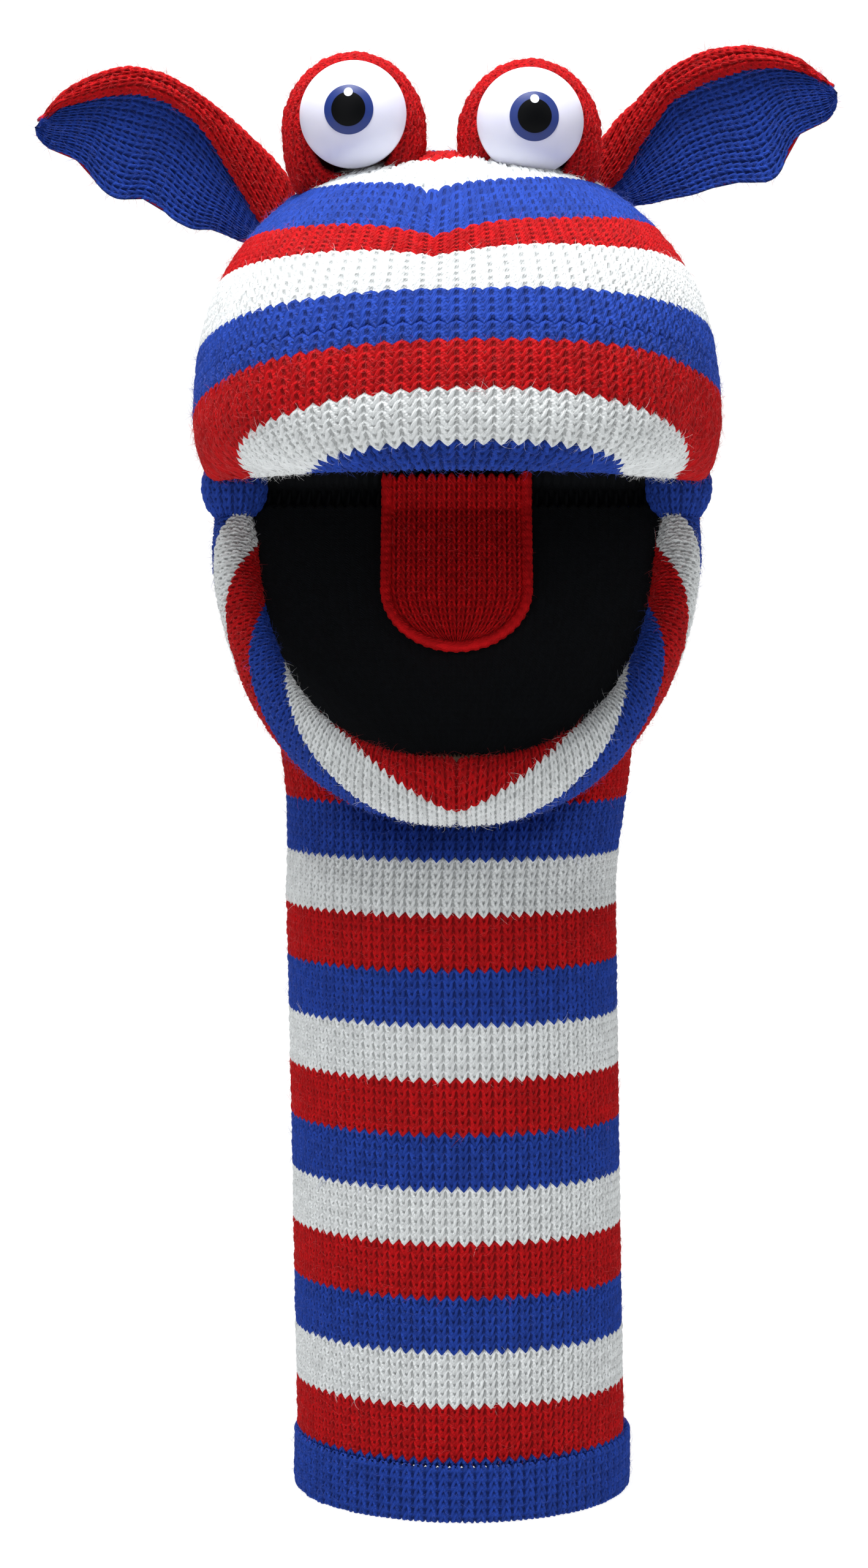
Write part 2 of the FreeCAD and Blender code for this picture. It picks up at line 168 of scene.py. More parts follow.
# ---------------------------------------------------------------- mesh helpers
def new_object(name, points, faces, materials, picks=None, uvs=None):
    """Mesh object from points in millimetres and faces of 3 or 4 corners (-1 pads a triangle)."""
    used, packed = np.unique(faces[faces >= 0], return_inverse=True)
    four = faces >= 0
    index = np.full(faces.shape, -1)
    index[four] = packed
    sizes = four.sum(1)
    mesh = bpy.data.meshes.new(name)
    mesh.vertices.add(len(used))
    mesh.vertices.foreach_set("co", (points[used] * MM).astype(np.float32).ravel())
    mesh.loops.add(int(sizes.sum()))
    mesh.loops.foreach_set("vertex_index", index[four].astype(np.int32))
    mesh.polygons.add(len(faces))
    starts = np.concatenate([[0], np.cumsum(sizes)[:-1]])
    mesh.polygons.foreach_set("loop_start", starts.astype(np.int32))
    mesh.polygons.foreach_set("use_smooth", np.full(len(faces), True))
    if picks is not None:
        mesh.polygons.foreach_set("material_index", picks.astype(np.int32))
    if uvs is not None:
        layer = mesh.uv_layers.new(name="stitches")
        layer.data.foreach_set("uv", uvs[four].astype(np.float32).ravel())
    for material in materials:
        mesh.materials.append(material)
    mesh.update(calc_edges=True)
    mesh.validate()
    made = bpy.data.objects.new(name, mesh)
    bpy.context.scene.collection.objects.link(made)
    return made


def unit(vectors):
    length = np.linalg.norm(vectors, axis=-1, keepdims=True)
    return vectors / np.maximum(length, TINY)


def join(x, y, z):
    """Points from coordinates that may differ in shape."""
    return np.stack(np.broadcast_arrays(x, y, z), -1)


def knit(name, surface, wales, courses, colour, inside, low=None, high=None, closed=True,
         wall=1.6, relief=0.95, columns=COLUMNS, steps=STEPS, seed=1, groove=None):
    """Knitted shell. surface(a, b) gives points; courses is the first and last course number;
    low(a) and high(a) trim the courses at an edge; colour(course) names the yarn. inside is a
    point behind the knit, and groove(points) is added to the height of the stitches. Returns
    the object, and leaves what fuzz() needs in made_of."""
    draw = np.random.default_rng(seed)
    count = wales * columns + (0 if closed else 1)
    a = (np.arange(count) / columns)[:, None]
    side = np.abs(a % 1.0 - 0.5)
    v = np.concatenate([k + np.array(steps) for k in range(*courses)] + [[float(courses[1])]])
    v = v[None, :]
    free = v + RISE * 2 * side
    bottom = free[:, :1] if low is None else low(a)
    top = free[:, -1:] if high is None else high(a)
    b = np.clip(free, bottom, top)
    first = np.maximum((free <= bottom + TINY).sum(1) - 1, 0)
    last = np.minimum((free < top - TINY).sum(1), v.shape[1] - 1)
    last = np.maximum(last, first)

    def normals(rows):
        small = 0.04
        along = surface(a + small, rows) - surface(a - small, rows)
        up = surface(a, rows + small) - surface(a, rows - small)
        return unit(np.cross(along, up))

    base = surface(a, b)
    out = normals(b)
    sign = np.sign(np.sum(out * (base - np.array(inside))))
    out = out * sign
    part = v % 1.0
    middle = LEG_FOOT + (LEG_HEAD - LEG_FOOT) * part
    leg = np.clip(1 - np.abs((side - middle) / LEG_HALF) ** 2, 0, 1) ** LEG_ROUNDNESS
    bulge = np.interp(part, LEG_WAY, LEG_BULGE)
    wale_number = np.floor(a + 1e-6).astype(int) % wales
    course_number = np.floor(v + 1e-6).astype(int) - courses[0]
    uneven = draw.normal(0, UNEVEN, (wales, courses[1] - courses[0] + 1))
    uneven[:, [0, -1]] = 0
    height = relief * (leg * bulge * (1 + uneven[wale_number, course_number]) - LEG_SINK)
    if low is not None:
        height[b <= bottom + TINY] = -EDGE_SINK * relief
    if high is not None:
        height[b >= top - TINY] = -EDGE_SINK * relief
    if groove is not None:
        height = height + groove(base)
    points = base + out * height[..., None]

    rows = v.shape[1]
    column = np.arange(count)[:, None]
    level = np.clip(np.arange(rows)[None, :], first[:, None], last[:, None])
    outer = column * rows + level
    ahead = np.roll(outer, -1, 0) if closed else outer[1:]
    here = outer if closed else outer[:-1]
    quads = np.stack([here[:, :-1], ahead[:, :-1], ahead[:, 1:], here[:, 1:]], -1)
    wide = quads.shape[0]
    a_here = np.broadcast_to(a[:wide], (wide, rows - 1))
    v_here = np.broadcast_to(v[:, :-1], (wide, rows - 1))
    v_next = np.broadcast_to(v[:, 1:], (wide, rows - 1))
    a_next = a_here + 1 / columns
    uvs = np.stack([np.stack([a_here, v_here], -1), np.stack([a_next, v_here], -1),
                    np.stack([a_next, v_next], -1), np.stack([a_here, v_next], -1)], 2)
    tone = draw.integers(0, TONES - 1, (2 * wales, courses[1] - courses[0] + 1))
    leg_number = np.floor(a_here * 2 + 1e-6).astype(int) % (2 * wales)
    course_here = np.floor(v_here + 1e-6).astype(int)
    shades = np.vectorize(colour)(np.arange(courses[0], courses[1] + 1))
    tones = tone[leg_number, course_here - courses[0]]
    corner = np.broadcast_to(leg * bulge, (count, rows))
    corner = (corner + np.roll(corner, -1, 0))[:wide]
    # Faces that lie low between the legs of the stitches take the last tone: painted shade in the
    # gaps.
    if relief > FLAT_RELIEF:
        tones = np.where((corner[:, :-1] + corner[:, 1:]) / 4 < GAP_SHADE_LEVEL, TONES - 1, tones)
    picks = shades[course_here - courses[0]] * TONES + tones

    inner_rows = max(2, (courses[1] - courses[0]) // 3)
    share = np.linspace(0, 1, inner_rows + 1)[None, :]
    b_in = bottom + share * (top - bottom)
    base_in = surface(a, b_in)
    inner_points = base_in - normals(b_in) * sign * wall
    inner = count * rows + column * (inner_rows + 1) + np.arange(inner_rows + 1)[None, :]
    inner_ahead = np.roll(inner, -1, 0) if closed else inner[1:]
    inner_here = inner if closed else inner[:-1]
    back = np.stack([inner_here[:, :-1], inner_here[:, 1:],
                     inner_ahead[:, 1:], inner_ahead[:, :-1]], -1)
    course_in = np.clip(np.floor(b_in[:wide, :-1] - RISE * 2 * side[:wide]), *courses).astype(int)
    back_picks = shades[course_in - courses[0]] * TONES
    rim_low = np.stack([inner_here[:, 0], inner_ahead[:, 0], ahead[:, 0], here[:, 0]], -1)
    rim_high = np.stack([here[:, -1], ahead[:, -1], inner_ahead[:, -1], inner_here[:, -1]], -1)
    faces = [quads.reshape(-1, 4), back.reshape(-1, 4), rim_low, rim_high]
    materials = [picks.ravel(), back_picks.ravel(), picks[:, 0], picks[:, -1]]
    if not closed:
        for end, flip in ((0, False), (count - 1, True)):
            chain = list(dict.fromkeys(outer[end, first[end]:last[end] + 1].tolist()))
            other = inner[end].tolist()
            fan = side_strip(chain, other, flip)
            faces.append(fan)
            materials.append(np.full(len(fan), picks[0 if end == 0 else -1].max()))
    faces = np.concatenate(faces)
    materials = np.concatenate(materials)
    flat_uvs = np.zeros((len(faces), 4, 2))
    flat_uvs[: quads.shape[0] * quads.shape[1]] = uvs.reshape(-1, 4, 2)
    if sign < 0:
        faces = faces[:, ::-1]
        flat_uvs = flat_uvs[:, ::-1]
    faces, keep, flat_uvs = drop_empty(faces, flat_uvs)
    every_point = np.concatenate([points.reshape(-1, 3), inner_points.reshape(-1, 3)])
    made = new_object(name, every_point, faces, YARNS, picks=materials[keep], uvs=flat_uvs)
    row = np.arange(rows)[None, :]
    inside_edges = (row > first[:, None]) & (row < last[:, None])
    where = np.argwhere(inside_edges)
    chosen = shades[np.minimum(course_number, courses[1] - courses[0])]
    made_of[made.name] = (points, out, where, np.broadcast_to(chosen, inside_edges.shape))
    return made


def side_strip(chain, other, flip):
    """Triangles between two lists of points that run side by side."""
    triangles = []
    i = j = 0
    while i < len(chain) - 1 or j < len(other) - 1:
        forward = (i + 1) / max(1, len(chain) - 1) <= (j + 1) / max(1, len(other) - 1)
        if j == len(other) - 1 or (forward and i < len(chain) - 1):
            triangles.append((chain[i], chain[i + 1], other[j], -1))
            i += 1
        else:
            triangles.append((chain[i], other[j + 1], other[j], -1))
            j += 1
    strip = np.array(triangles)
    if flip:
        strip = strip[:, [0, 2, 1, 3]]
    return strip


def drop_empty(faces, uvs):
    """Faces without repeated corners: a quad that has one becomes a triangle, or goes."""
    corners = faces.copy()
    for i in range(4):
        j = (i + 1) % 4
        same = (corners[:, i] == corners[:, j]) & (corners[:, i] >= 0)
        corners[same, j] = -1
    keep = (corners >= 0).sum(1) >= 3
    sorted_corners = np.sort(corners, 1)
    twice = (sorted_corners[:, 1:] == sorted_corners[:, :-1]) & (sorted_corners[:, 1:] >= 0)
    keep &= ~twice.any(1)
    return corners[keep], keep, uvs[keep]


made_of = {}                    # what fuzz() needs of each knitted piece, by its name


HAIR_LENGTH = (0.9, 2.8)
HAIR_RADIUS = 0.035
HAIR_STATIONS = 4               # three-sided rings along each hair


def fuzz(knitted, amount, seed):
    """Loose fibres that stand off a knitted piece, as short bent hairs."""
    points, out, where, shades = made_of[knitted.name]
    draw = np.random.default_rng(seed)
    pick = where[draw.integers(0, len(where), amount)]
    start = points[pick[:, 0], pick[:, 1]]
    normal = out[pick[:, 0], pick[:, 1]]
    shade = shades[pick[:, 0], pick[:, 1]]
    lean = unit(np.cross(normal, draw.normal(0, 1, (amount, 3))))
    curl = unit(np.cross(normal, lean) + draw.normal(0, 0.6, (amount, 3)))
    size = draw.uniform(*HAIR_LENGTH, amount)[:, None]
    rise = draw.uniform(0.15, 0.75, amount)[:, None]
    rings = []
    for k in range(HAIR_STATIONS):
        t = k / (HAIR_STATIONS - 1)
        centre = start + lean * size * t + normal * size * rise * t * (1.35 - 0.6 * t)
        centre = centre + curl * size * 0.45 * t * t
        thick = HAIR_RADIUS * (1 - 0.75 * t)
        for corner in range(3):
            turn = 2 * math.pi * corner / 3
            offset = normal * math.cos(turn) + np.cross(normal, lean) * math.sin(turn)
            rings.append(centre + offset * thick)
    cloud = np.stack(rings, 1)
    base = (np.arange(amount) * HAIR_STATIONS * 3)[:, None]
    sides = []
    for ring in range(0, 3 * (HAIR_STATIONS - 1), 3):
        for near, far in ((0, 1), (1, 2), (2, 0)):
            sides.append([ring + near, ring + far, ring + 3 + far, ring + 3 + near])
    pattern = np.array(sides)
    faces = (base[:, None] + pattern[None]).reshape(-1, 4)
    picks = np.repeat(shade, len(pattern))
    return new_object(knitted.name + "_fuzz", cloud.reshape(-1, 3), faces, FIBRES, picks=picks)


def smooth_noise(points, size, seed):
    """Gentle repeatable unevenness from -1 to 1, with bumps about size millimetres across."""
    draw = np.random.default_rng(seed)
    total = np.zeros(points.shape[:-1])
    for _ in range(6):
        direction = draw.normal(0, 1, 3)
        total += np.sin(points @ direction * (2 / size) + draw.uniform(0, 6.28))
    return total / 3.2


def superellipse(angle, roundness):
    """Unit outline: x from the cosine, y from the sine, both raised to 2 / roundness."""
    c, s = np.cos(angle), np.sin(angle)
    return np.sign(c) * np.abs(c) ** (2 / roundness), np.sign(s) * np.abs(s) ** (2 / roundness)


def even_angles(outline, start, end):
    """Function from a share of an outline's length, 0 to 1, to its angle."""
    angle = np.linspace(start, end, 4000)
    x, y = outline(angle)
    length = np.concatenate([[0], np.cumsum(np.hypot(np.diff(x), np.diff(y)))])
    return lambda share: np.interp(share, length / length[-1], angle)


def band(course, order):
    """Yarn of a course, where order is the colours of the bands from course 0 up."""
    return order[int(course // COURSES_TO_A_BAND) % len(order)]


# ---------------------------------------------------------------- sleeve and neck
SLEEVE_HALF = (43.4, 40.0)
SLEEVE_WALES = 86
# The sleeve leans a little sideways: height, offset.
SLEEVE_LEAN = [(0, 1.6), (100, 0.15), (160, -0.9), (185, 0.5), (225, 0.0)]
COURSE = 14.0 / COURSES_TO_A_BAND
HEM_TOP = 15.1
HINGE_Z = 265.0
MOUTH_ANGLE = math.radians(54.0)
NECK_START = 150.0              # the neck widens and leans back from here up to the hinge
NECK_FLARE = 16.6               # and is this much wider to each side there
NECK_BEND = 218.5               # its front leans back up to this height, then forward
NECK_EDGE = 1.6                 # how softly the sides of the neck turn into its front
SLEEVE_NOISE, HEAD_NOISE, JAW_NOISE = 5, 8, 11


def neck_section(z):
    """Half width, middle, front and back of the sleeve and the leaning neck at height z."""
    share = np.clip((z - NECK_START) / (HINGE_Z - NECK_START), 0, 1.05)
    rise = np.maximum(0, 1.12 * share - 0.12)
    half = SLEEVE_HALF[0] + NECK_FLARE * rise ** 1.6
    return half, 3.0 * share, SLEEVE_HALF[1], SLEEVE_HALF[1] + 3.6 * share


def neck_front(z):
    """The neck lies behind this y, to clear the open jaw: one line below the jaw, which follows
    its underside, and one above."""
    far = 19.4 - 0.727 * (250.9 - z)
    near = -4.1 + 0.297 * (z - NECK_BEND)
    return np.where(z < NECK_BEND, far, near)


def tube_point(a, z):
    angle = np.pi / 2 + 2 * np.pi * a / SLEEVE_WALES
    half, middle, front, back = neck_section(z)
    y = np.sin(angle)
    y = middle + np.where(y > 0, y * (back - middle), y * (front + middle))
    front = neck_front(z) + 0.3
    y = front + NECK_EDGE * np.logaddexp(0, (y - front) / NECK_EDGE)
    points = join(half * np.cos(angle), y, z)
    wobble = smooth_noise(points * np.array([1, 1, 0.5]), 30, SLEEVE_NOISE)
    push = points * np.array([1, 1, 0])
    points = points + unit(push) * (wobble[..., None] * 0.8 - 0.3)
    points[..., 0] += np.interp(z, *zip(*SLEEVE_LEAN))
    return points


def sleeve_surface(a, b):
    return tube_point(a, HEM_TOP + b * COURSE)


def sleeve_colour(course):
    return band(course, (RED, WHITE, BLUE))


def hem_surface(a, b):
    """Folded hem: down the outside, round the lower edge and up inside."""
    path = b * COURSE
    lip, straight, turn = 1.6, 13.6, 4.4
    down = np.clip(path - lip, 0, straight)
    round_ = np.clip((path - lip - straight) / turn, 0, 1) * np.pi
    up = np.maximum(path - lip - straight - turn, 0)
    tuck = np.clip(lip - path, 0, lip)
    inset = 1.4 - 1.4 * np.cos(round_) + tuck * 0.9
    z = HEM_TOP - 0.3 - down - 1.2 * np.sin(round_) + up - tuck * 0.2
    z = np.maximum(z, 0.2)
    angle = np.pi / 2 - 2 * np.pi * a / SLEEVE_WALES
    x = SLEEVE_LEAN[0][1] + (SLEEVE_HALF[0] + 1.0 - inset) * np.cos(angle)
    y = (SLEEVE_HALF[1] + 1.0 - inset) * np.sin(angle)
    return join(x, y, z)


def make_sleeve():
    # Name, first and last course, the bodies at its lower and upper end, and two heights that are
    # not used.
    # A piece with no upper body rides its lower one; the others stay where they are.
    stretches = [
        ("sleeve_forearm", -1, 17, "arm", None, 0, 0),
        ("sleeve_turning", 17, 35, "arm", "lower_neck", 55, 85),
        ("sleeve_tilting", 35, 54, "lower_neck", "upper_neck", 105, 135),
        ("sleeve_nodding", 54, 78, "upper_neck", "head", 150, 190),
        ("nape_lower", 78, 94, "head", None, 0, 0),
        ("nape_upper", 94, 108, "head", None, 0, 0),
    ]
    for name, first, last, lower, upper, z0, z1 in stretches:
        piece = knit(name, sleeve_surface, SLEEVE_WALES, (first, last), sleeve_colour,
                     (0, 0, HEM_TOP + COURSE * (first + last) / 2), wall=1.9, seed=first + 5)
        hairs = fuzz(piece, 150 * (last - first), first + 50)
        for part in (piece, hairs):
            if upper is None:
                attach(part, lower)
            else:
                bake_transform(part)
    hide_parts("arm_sleeve")
    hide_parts("turning_stretch", "lower_neck_sleeve")
    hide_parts("tilting_stretch")
    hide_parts("upper_neck_sleeve", "nodding_stretch")
    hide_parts("nape_skin")
    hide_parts("throat_fold")
    hem = knit("folded_hem", hem_surface, SLEEVE_WALES, (0, 11), lambda course: BLUE, (0, 0, 500),
               wall=1.0, seed=46)
    hairs = fuzz(hem, 1400, 47)
    for part in (hem, hairs):
        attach(part, "arm")
    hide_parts("wrist_hem")


# ---------------------------------------------------------------- head
HEAD_WALES = 100
HEAD_HALF = (68.0, 90.0, 46.0)  # to the sides, to the front and to the back
HEAD_WIDEST = 281.0             # height where it is widest
HEAD_RISE = 69.0                # from there to its top
LIP_Z = 266.5
LIP_ROLL = 8.0                  # how far the lip's knit turns in under it
HEAD_ROUNDNESS = 2.4            # of the outline from above
HEAD_DOME = 2.25                # of the outline from the front
LIP_TUCK = 0.27                 # how far the lip draws in at the mouth corners
NAPE_TAPER = 0.12               # the head narrows by this share to meet the nape
LIP_LIFT = 1.7                  # the lip is this much higher in the middle
HEAD_CENTRE = (0, -10, 285)
HEAD_WALL = 2.2
BROW_COURSE = 20                # the cover ends and the brow starts
CROWN_COURSE = 44               # the brow ends and the crown starts
POLE_COURSE = 56                # the courses would meet at the top of the head
# Where the band edges pass: course, height at the sides and slope towards the front.
EDGE_COURSE = [0, 6, 12, 18, 24, 30, 36, 42]
EDGE_Z = [214.0, 245.2, 249.8, 278.9, 297.7, 316.6, 328.2, 339.3]
EDGE_SLOPE = [-0.55, -0.30, -0.40, -0.21, -0.15, -0.066, 0.0, 0.0]
BAND_TILT = 0.03                # the bands rise this much to the right
DART_X = -5.6                   # the sewn dart runs up the forehead from here
DART_DIP = 6.5                  # it pulls the bands down by this much
DART_Z = (310, 322, 330, 338, 348)
DART_PULL = (0, 0.7, 1, 0.45, 0.1)  # share of the dip at those heights


def head_outline(angle):
    x, y = superellipse(angle, HEAD_ROUNDNESS)
    return HEAD_HALF[0] * x, np.where(y > 0, HEAD_HALF[2], HEAD_HALF[1]) * y


HEAD_ANGLE = even_angles(head_outline, np.pi / 2, np.pi * 2.5)  # from the middle of the back


def head_at(angle, level):
    """Point of the head's surface. level is its height, and under the lip the way round the
    roll. h is 0 at the widest level and 1 at the top; under is 0 there and 1 at the lip."""
    z = np.maximum(level, LIP_Z)
    h = np.clip((z - HEAD_WIDEST) / HEAD_RISE, 0, 1)
    under = np.clip((HEAD_WIDEST - z) / (HEAD_WIDEST - LIP_Z), 0, 1)
    ahead = np.clip(0.1 - 1.6 * np.sin(angle), 0, 1)
    tuck = 1 - 0.045 * under ** 2
    corners = 1 - LIP_TUCK * ahead * (1 - np.sqrt(1 - 0.96 * under ** 2))
    across = (1 - h ** HEAD_DOME) ** (1 / HEAD_DOME)
    along = np.sqrt(1 - h ** 2) * tuck
    across = across * np.minimum(tuck, corners)
    behind = np.clip(4 * np.sin(angle), 0, 1)
    below = np.clip(LIP_Z - level, 0, LIP_ROLL)
    roll = below * (1 - behind)
    fall = np.clip((HEAD_WIDEST - level) / (HEAD_WIDEST - LIP_Z + LIP_ROLL), 0, 1)
    across = across + behind * (1 - NAPE_TAPER * fall ** 1.3 - across) * (z < HEAD_WIDEST)
    x, y = superellipse(angle, HEAD_ROUNDNESS)
    front = y < 0
    x = x * (HEAD_HALF[0] * across - roll)
    nape = HEAD_HALF[2] * (across + 0.09 * behind * fall)
    y = y * np.where(front, HEAD_HALF[1] * along - roll, nape - roll)
    z = z - 0.9 * np.sin(np.pi * np.minimum(roll, 5) / 5) + np.maximum(roll - 5, 0) * 0.9
    z = z + LIP_LIFT * under * np.clip(-np.sin(angle), 0, 1) - below * behind
    return join(x, y, z)


def head_course(points, level):
    """Course number at points of the head's surface. z0 is the height of the same course at
    the sides of the head, found in steps because the slope depends on it."""
    y = -np.logaddexp(0, -points[..., 1] / 6.0) * 6.0
    level = level - BAND_TILT * points[..., 0]
    dip = DART_DIP * np.exp(-np.abs(points[..., 0] - DART_X) / 12)
    level = level + dip * np.interp(level, DART_Z, DART_PULL) * (points[..., 1] < 0)
    z0 = level
    for _ in range(40):
        z0 = 0.5 * z0 + 0.5 * (level - np.interp(z0, EDGE_Z, EDGE_SLOPE) * y)
    course = np.interp(z0, EDGE_Z, EDGE_COURSE)
    edge = EDGE_Z[-1]
    h = np.clip((z0 - HEAD_WIDEST) / HEAD_RISE, 0, 1)
    h_edge = (edge - HEAD_WIDEST) / HEAD_RISE
    spread = np.sqrt(1 - h ** 2) / math.sqrt(1 - h_edge ** 2)
    cap = EDGE_COURSE[-1] + (POLE_COURSE - EDGE_COURSE[-1]) * (1 - spread)
    return np.where(z0 > edge, cap, course)


# Heights at which courses are looked up, closer together near the top.
LEVELS = np.concatenate([np.linspace(LIP_Z - LIP_ROLL, 340, 260),
                         350 - 10 * np.linspace(1, 0, 80)[1:] ** 2])


def head_levels(angle):
    """Course number at each of LEVELS, along the wale at one angle."""
    level = np.broadcast_to(LEVELS[None, :], (len(angle), len(LEVELS)))
    course = head_course(head_at(angle, level), level)
    return np.maximum.accumulate(course + np.arange(len(LEVELS)) * 1e-6, axis=1)


def head_surface_of(wales):
    def surface(a, b):
        angle = HEAD_ANGLE((a / wales) % 1.0)
        b = np.broadcast_to(b, (len(a), b.shape[1]))
        table = head_levels(angle)
        level = np.array([np.interp(b[i], table[i], LEVELS) for i in range(len(a))])
        points = head_at(angle, level)
        wobble = smooth_noise(points, 26, HEAD_NOISE)[..., None]
        return points + unit(points - np.array(HEAD_CENTRE)) * (0.4 * wobble - 0.35)
    return surface


def head_colour(course):
    return band(course, (BLUE, WHITE, RED))


def forehead_groove(points):
    """Sewn dart that runs up the forehead."""
    x, z = points[..., 0], points[..., 2]
    line = DART_X - 3.1 * np.clip((z - 326) / 14, 0, 1)
    tall = np.clip((z - 325) / 3, 0, 1) * (points[..., 1] < -20)
    return -0.9 * tall * np.exp(-((x - line) / 0.8) ** 2)


def make_head():
    surface = head_surface_of(HEAD_WALES)

    def lip(a):
        return head_levels(HEAD_ANGLE((a / HEAD_WALES) % 1.0))[:, :1]

    cover = knit("head_cover", surface, HEAD_WALES, (-3, BROW_COURSE), head_colour, HEAD_CENTRE,
                 low=lip, wall=HEAD_WALL, seed=60)
    brow = knit("head_brow", surface, HEAD_WALES, (BROW_COURSE, CROWN_COURSE), head_colour,
                HEAD_CENTRE, wall=HEAD_WALL, seed=59, groove=forehead_groove)
    crown = knit("head_crown", head_surface_of(HEAD_WALES // 2), HEAD_WALES // 2,
                 (CROWN_COURSE - 1, POLE_COURSE - 1), head_colour, HEAD_CENTRE,
                 wall=HEAD_WALL, seed=61)
    hairs = [fuzz(cover, 9000, 62), fuzz(brow, 6000, 64), fuzz(crown, 1600, 63)]
    for part in (cover, brow, crown, *hairs):
        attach(part, "head")
    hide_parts("head_skin", "upper_jaw_padding")
    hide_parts("forehead_seam")


# ---------------------------------------------------------------- lower jaw
JAW_HALF, JAW_LENGTH, JAW_ROUNDNESS = 64.4, 97.2, 2.15
BED_ROUNDNESS = 2.5
BED_HALF, BED_LENGTH = 52.0, 82.8  # the lining's edge inside the roll
JAW_START = 4.0                 # the roll's knit starts this far in front of the hinge
JAW_CORNER = 2.2                # the jaw bulges this much at the mouth corners
CORNER_REACH = 9.0              # and the bulge dies away over this length
JAW_WALES = 104
UNDER_WALES = 36
UNDER_FLAT = 40.0               # the underside is level in front of this
UNDER_SLOPE = math.tan(math.radians(19.4))
JAW_COURSE = 2.4
# The roll's section from the mouth lining outwards: how far in from the outline, and height.
ROLL_IN = [12.6, 12.0, 10.2, 6.6, 3.0, 0.9, 0.0, 0.6, 3.4, 7.5, 13.0]
ROLL_Z = [-4.5, -2.0, 0.2, 1.0, -0.6, -3.6, -8.0, -13.0, -17.6, -20.9, -22.0]
ROLL_LENGTH = np.concatenate([[0], np.cumsum(np.hypot(np.diff(ROLL_IN), np.diff(ROLL_Z)))])
# Courses met along the lining's edge, by the way round it from the chin.
EDGE_WAY = [0.0, 36.0, 58.0, 76.0, 95.0, 108.0]
EDGE_START = [-2.0, 6.0, 12.0, 18.0, 24.0, 30.0]


def into_jaw(x, s, z):
    """World point from the level jaw: s forward from the hinge, z up."""
    y = -s * math.cos(MOUTH_ANGLE) - z * math.sin(MOUTH_ANGLE)
    up = HINGE_Z - s * math.sin(MOUTH_ANGLE) + z * math.cos(MOUTH_ANGLE)
    return join(x, y, up)


def jaw_outline(angle):
    x, s = superellipse(angle, JAW_ROUNDNESS)
    return JAW_HALF * x, JAW_LENGTH * s


JAW_END = math.asin((JAW_START / JAW_LENGTH) ** (JAW_ROUNDNESS / 2))
JAW_ANGLE = even_angles(jaw_outline, math.pi - JAW_END, JAW_END)


def under_jaw(s):
    """Height of the jaw's underside, which rises towards the hinge."""
    return ROLL_Z[-1] + np.maximum(0, UNDER_FLAT - s) * UNDER_SLOPE


def bed_way(angle):
    """Length along the lining's edge from the chin to an angle."""
    turns = np.linspace(0, np.pi / 2, 600)
    x, s = superellipse(np.pi / 2 - turns, BED_ROUNDNESS)
    steps = np.hypot(np.diff(BED_HALF * x), np.diff(BED_LENGTH * s))
    return np.interp(np.abs(angle - np.pi / 2), turns, np.concatenate([[0], np.cumsum(steps)]))


def jaw_start_course(angle):
    return np.interp(bed_way(angle), EDGE_WAY, EDGE_START)


def jaw_surface(a, b):
    angle = JAW_ANGLE(a / JAW_WALES)
    way = (b - jaw_start_course(angle)) * JAW_COURSE
    inward = np.interp(way, ROLL_LENGTH, ROLL_IN)
    z = np.interp(way, ROLL_LENGTH, ROLL_Z)
    share = np.clip(inward / ROLL_IN[0], 0, 1)
    x, s = superellipse(angle, JAW_ROUNDNESS + (BED_ROUNDNESS - JAW_ROUNDNESS) * share)
    half = JAW_HALF - inward
    length = JAW_LENGTH - share * (JAW_LENGTH - BED_LENGTH + 0.4)
    half = half + JAW_CORNER * np.exp(-(length * s / CORNER_REACH) ** 2)
    # The roll draws in towards the hinge, where its ends go into the cheeks.
    near = np.interp(length * s, (3, 18), (0.6, 1))
    half = CHEEK_X + (half - CHEEK_X) * near
    # It stays above the underside, and eases onto it over the last few millimetres.
    limit = under_jaw(s * length)
    z = np.where(z < limit + 4, limit + 4 * np.exp((z - limit - 4) / 4), z)
    points = into_jaw(half * x, length * s, z * near)
    wobble = smooth_noise(points, 24, JAW_NOISE)[..., None]
    return points + wobble * np.array([0.25, 0.15, 0.15])


def jaw_colour(course):
    return band(max(course, 0), (RED, WHITE, BLUE))


def chin_groove(points):
    """Seam down the middle of the chin."""
    return -np.exp(-(points[..., 0] / 0.9) ** 2)


def make_jaw():
    def low(a):
        return jaw_start_course(JAW_ANGLE(a / JAW_WALES))

    def high(a):
        return low(a) + ROLL_LENGTH[-1] / JAW_COURSE

    roll = knit("jaw_roll", jaw_surface, JAW_WALES, (-3, 50), jaw_colour,
                into_jaw(0, 45, -10), low=low, high=high, closed=False, wall=1.6, seed=70,
                groove=chin_groove)

    def underside(a, b):
        s = 9.0 + b * 2.2
        room = np.clip(1 - (s / (BED_LENGTH + 1.5)) ** BED_ROUNDNESS, 0.003, 1)
        half = (JAW_HALF - ROLL_IN[-1] + 0.6) * room ** (1 / BED_ROUNDNESS)
        half = half + JAW_CORNER * np.exp(-(s / CORNER_REACH) ** 2)
        return into_jaw((a / UNDER_WALES * 2 - 1) * half, s, under_jaw(s) - 0.1)

    under = knit("jaw_underside", underside, UNDER_WALES, (0, 34), jaw_colour, into_jaw(0, 45, 0),
                 closed=False, wall=1.6, seed=71)
    hairs = [fuzz(roll, 7000, 72), fuzz(under, 900, 73)]
    for part in (roll, under, *hairs):
        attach(part, "lower_jaw")
    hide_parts("jaw_skin", "lower_jaw_padding", "chin_seam")


LINING_WALES, ROOF_WALES = 40, 46
LINING_COURSES = 43
ROOF_Z = 269.3
ROOF_START = -1.5
ROOF_HALF, ROOF_LENGTH = 57.5, 84.0


